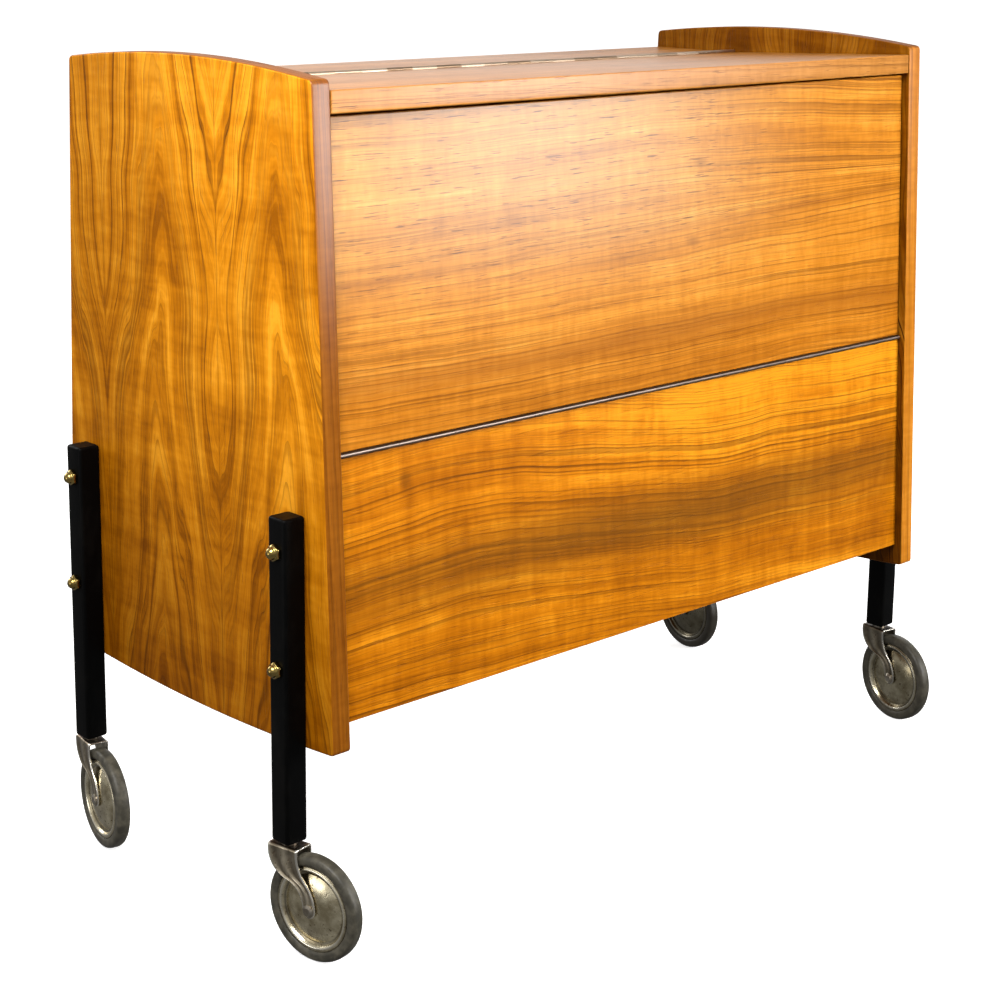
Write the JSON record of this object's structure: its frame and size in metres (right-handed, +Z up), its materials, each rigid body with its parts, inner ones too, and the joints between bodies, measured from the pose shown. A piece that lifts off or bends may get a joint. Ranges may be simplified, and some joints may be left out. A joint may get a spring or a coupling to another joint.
{
  "type": "cellarette",
  "caption": "Bar cabinet trolley with tapered veneered sides, a lid that folds back, a drop-front flap, black legs and swivel casters.",
  "frame": {"origin": "on the floor, below the middle of the space that the trolley takes up", "axes": "+X to the right as seen from the front, +Y from the front to the back, +Z up"},
  "size_m": [0.7768, 0.3832, 0.6734],
  "materials": {
    "veneer": "satin lacquered striped veneer",
    "inner_wood": "plain light veneer",
    "dowel_wood": "raw beech",
    "leg_lacquer": "satin black lacquer",
    "hinge_steel": "nickel plated, worn",
    "screw_steel": "plain",
    "nut_brass": "polished",
    "socket_steel": "plain",
    "fork_steel": "worn nickel plate",
    "disc_steel": "worn nickel plate",
    "bush_brass": "plain",
    "tyre_rubber": "matte"
  },
  "bodies": {
    "carcass": {"side_panel_left": "veneer", "side_panel_right": "veneer", "bottom_panel": "inner_wood", "back_panel": "inner_wood", "rear_top": "veneer", "lower_front_panel": "veneer", "inner_shelf": "inner_wood", "shelf_battens": "inner_wood", "lid_rests": "inner_wood", "carcass_dowels": "dowel_wood", "leg_front_left": "leg_lacquer", "leg_front_right": "leg_lacquer", "leg_rear_left": "leg_lacquer", "leg_rear_right": "leg_lacquer", "leg_bolts": "screw_steel", "dome_nuts": "nut_brass", "caster_sockets": "socket_steel", "lid_hinge_fixed_leaf": "hinge_steel", "lid_hinge_pin": "hinge_steel", "lid_hinge_fixed_screws": "screw_steel", "flap_hinge_fixed_leaf": "hinge_steel", "flap_hinge_pin": "hinge_steel", "flap_hinge_fixed_screws": "screw_steel", "stay_guides": "hinge_steel", "stay_guide_screws": "screw_steel"},
    "lid": {"lid_panel": "veneer", "lid_hinge_moving_leaf": "hinge_steel", "lid_hinge_moving_screws": "screw_steel"},
    "flap": {"flap_panel": "veneer", "flap_hinge_moving_leaf": "hinge_steel", "flap_hinge_moving_screws": "screw_steel", "flap_stay_left": "hinge_steel", "flap_stay_right": "hinge_steel", "flap_stay_screws": "screw_steel"},
    "swivel_front_left": {"caster_fork_front_left": "fork_steel", "caster_stem_front_left": "fork_steel", "caster_axle_front_left": "fork_steel"},
    "wheel_front_left": {"wheel_discs_front_left": "disc_steel", "wheel_bush_front_left": "bush_brass", "tyre_front_left": "tyre_rubber"},
    "swivel_front_right": {"caster_fork_front_right": "fork_steel", "caster_stem_front_right": "fork_steel", "caster_axle_front_right": "fork_steel"},
    "wheel_front_right": {"wheel_discs_front_right": "disc_steel", "wheel_bush_front_right": "bush_brass", "tyre_front_right": "tyre_rubber"},
    "swivel_rear_left": {"caster_fork_rear_left": "fork_steel", "caster_stem_rear_left": "fork_steel", "caster_axle_rear_left": "fork_steel"},
    "wheel_rear_left": {"wheel_discs_rear_left": "disc_steel", "wheel_bush_rear_left": "bush_brass", "tyre_rear_left": "tyre_rubber"},
    "swivel_rear_right": {"caster_fork_rear_right": "fork_steel", "caster_stem_rear_right": "fork_steel", "caster_axle_rear_right": "fork_steel"},
    "wheel_rear_right": {"wheel_discs_rear_right": "disc_steel", "wheel_bush_rear_right": "bush_brass", "tyre_rear_right": "tyre_rubber"}
  },
  "joints": [
    {"name": "lid_hinge", "type": "hinge", "parent": "carcass", "child": "lid", "pos_m": [0, 0.06578, 0.6478], "axis": [-1, 0, 0], "range_deg": [0, 177]},
    {"name": "flap_hinge", "type": "hinge", "parent": "carcass", "child": "flap", "pos_m": [0, -0.1497, 0.39002], "axis": [1, 0, 0], "range_deg": [0, 92.42]},
    {"name": "swivel_front_left", "type": "hinge", "parent": "carcass", "child": "swivel_front_left", "pos_m": [-0.37, -0.12477, 0.0905], "axis": [0, 0, 1], "continuous": true},
    {"name": "roll_front_left", "type": "hinge", "parent": "swivel_front_left", "child": "wheel_front_left", "pos_m": [-0.3647, -0.14971, 0.0425], "axis": [0.9781, 0.2079, 0], "continuous": true},
    {"name": "swivel_front_right", "type": "hinge", "parent": "carcass", "child": "swivel_front_right", "pos_m": [0.37, -0.12477, 0.0905], "axis": [0, 0, 1], "continuous": true},
    {"name": "roll_front_right", "type": "hinge", "parent": "swivel_front_right", "child": "wheel_front_right", "pos_m": [0.36601, -0.14995, 0.0425], "axis": [0.9877, -0.1564, 0], "continuous": true},
    {"name": "swivel_rear_left", "type": "hinge", "parent": "carcass", "child": "swivel_rear_left", "pos_m": [-0.37, 0.15026, 0.0905], "axis": [0, 0, 1], "continuous": true},
    {"name": "roll_rear_left", "type": "hinge", "parent": "swivel_rear_left", "child": "wheel_rear_left", "pos_m": [-0.37443, 0.12515, 0.0425], "axis": [0.9848, -0.1736, 0], "continuous": true},
    {"name": "swivel_rear_right", "type": "hinge", "parent": "carcass", "child": "swivel_rear_right", "pos_m": [0.37, 0.15026, 0.0905], "axis": [0, 0, 1], "continuous": true},
    {"name": "roll_rear_right", "type": "hinge", "parent": "swivel_rear_right", "child": "wheel_rear_right", "pos_m": [0.36734, 0.1249, 0.0425], "axis": [0.9945, -0.1045, 0], "continuous": true}
  ]
}
